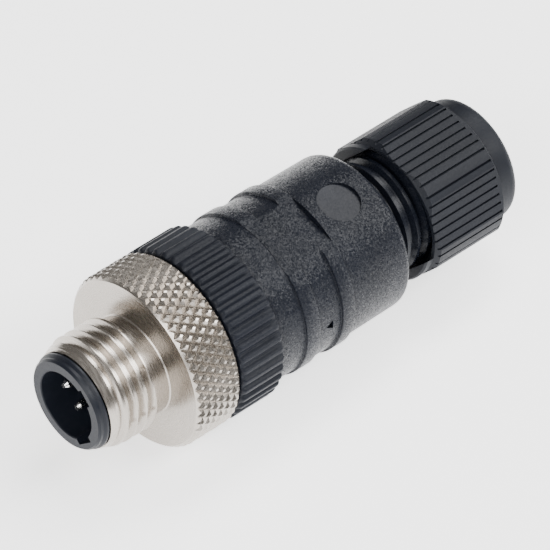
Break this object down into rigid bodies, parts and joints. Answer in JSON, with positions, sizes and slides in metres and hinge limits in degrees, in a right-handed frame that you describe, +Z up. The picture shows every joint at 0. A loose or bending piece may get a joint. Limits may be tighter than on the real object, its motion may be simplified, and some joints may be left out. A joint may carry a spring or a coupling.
{
  "type": "m12 connector",
  "caption": "Male circular connector with keyed pin insert, knurled metal coupling screw, ribbed grip ring, plastic housing sleeve and cable gland nut.",
  "frame": {"origin": "on the connector's axis, at the middle of the coupling thread", "axes": "the mating face looks along -X and the cable leaves along +X, the keyways are centred on -Y, +Z is up as the connector lies"},
  "size_m": [0.0577, 0.0202, 0.0202],
  "materials": {
    "insulator": "smooth black moulded plastic with a soft sheen",
    "contact": "silvery plated brass",
    "screw": "plated brass screws",
    "coupling": "nickel-plated turned brass, satin on the turned faces and bright on the knurl",
    "grip": "satin black moulded plastic",
    "housing": "spark-eroded black moulded plastic with a fine sparkle",
    "gland": "semi-gloss black moulded plastic",
    "seal": "matt black rubber"
  },
  "bodies": {
    "insert": {"contact_carrier": "insulator", "contact_pin_1": "contact", "contact_pin_2": "contact", "contact_pin_3": "contact", "contact_pin_4": "contact", "contact_pin_5": "contact", "damping_ring": "seal", "grip_ring": "grip", "sleeve_seal_ring": "seal"},
    "coupling": {"coupling_screw": "coupling"},
    "gland_core": {"gland_seal": "seal", "clamping_cage": "gland"},
    "sleeve": {"housing_sleeve": "housing"},
    "thrust": {"thrust_ring": "gland"},
    "nut": {"gland_nut": "gland"},
    "terminal_1": {"terminal_screw_1": "screw"},
    "terminal_2": {"terminal_screw_2": "screw"},
    "terminal_3": {"terminal_screw_3": "screw"},
    "terminal_4": {"terminal_screw_4": "screw"},
    "terminal_5": {"terminal_screw_5": "screw"}
  },
  "joints": [
    {"name": "coupling_spin", "type": "hinge", "parent": "insert", "child": "coupling", "pos_m": [0, 0, 0], "axis": [1, 0, 0], "continuous": true},
    {"name": "sleeve_travel", "type": "slide", "parent": "insert", "child": "gland_core", "axis": [1, 0, 0], "range_m": [0, 0.0045]},
    {"name": "sleeve_turn", "type": "hinge", "parent": "gland_core", "child": "sleeve", "pos_m": [0.02485, 0, 0], "axis": [1, 0, 0], "range_deg": [0, 1625]},
    {"name": "nut_travel", "type": "slide", "parent": "sleeve", "child": "thrust", "axis": [1, 0, 0], "range_m": [-0.0028, 0.0055]},
    {"name": "nut_turn", "type": "hinge", "parent": "thrust", "child": "nut", "pos_m": [0.04485, 0, 0], "axis": [1, 0, 0], "range_deg": [-680, 1330]},
    {"name": "terminal_turn_1", "type": "hinge", "parent": "insert", "child": "terminal_1", "pos_m": [0.02425, 0.0045, 0], "axis": [0, 1, 0], "range_deg": [-180, 720]},
    {"name": "terminal_turn_2", "type": "hinge", "parent": "insert", "child": "terminal_2", "pos_m": [0.02425, 0.00139, 0.00428], "axis": [0, 0.309, 0.9511], "range_deg": [-180, 720]},
    {"name": "terminal_turn_3", "type": "hinge", "parent": "insert", "child": "terminal_3", "pos_m": [0.02425, -0.00364, 0.00265], "axis": [0, -0.809, 0.5878], "range_deg": [-180, 720]},
    {"name": "terminal_turn_4", "type": "hinge", "parent": "insert", "child": "terminal_4", "pos_m": [0.02425, -0.00364, -0.00265], "axis": [0, -0.809, -0.5878], "range_deg": [-180, 720]},
    {"name": "terminal_turn_5", "type": "hinge", "parent": "insert", "child": "terminal_5", "pos_m": [0.02425, 0.00139, -0.00428], "axis": [0, 0.309, -0.9511], "range_deg": [-180, 720]}
  ],
  "couplings": [
    {"joint": "sleeve_turn", "follows": "sleeve_travel", "rad_per_m": 6283.2},
    {"joint": "nut_turn", "follows": "nut_travel", "rad_per_m": 4188.8}
  ]
}
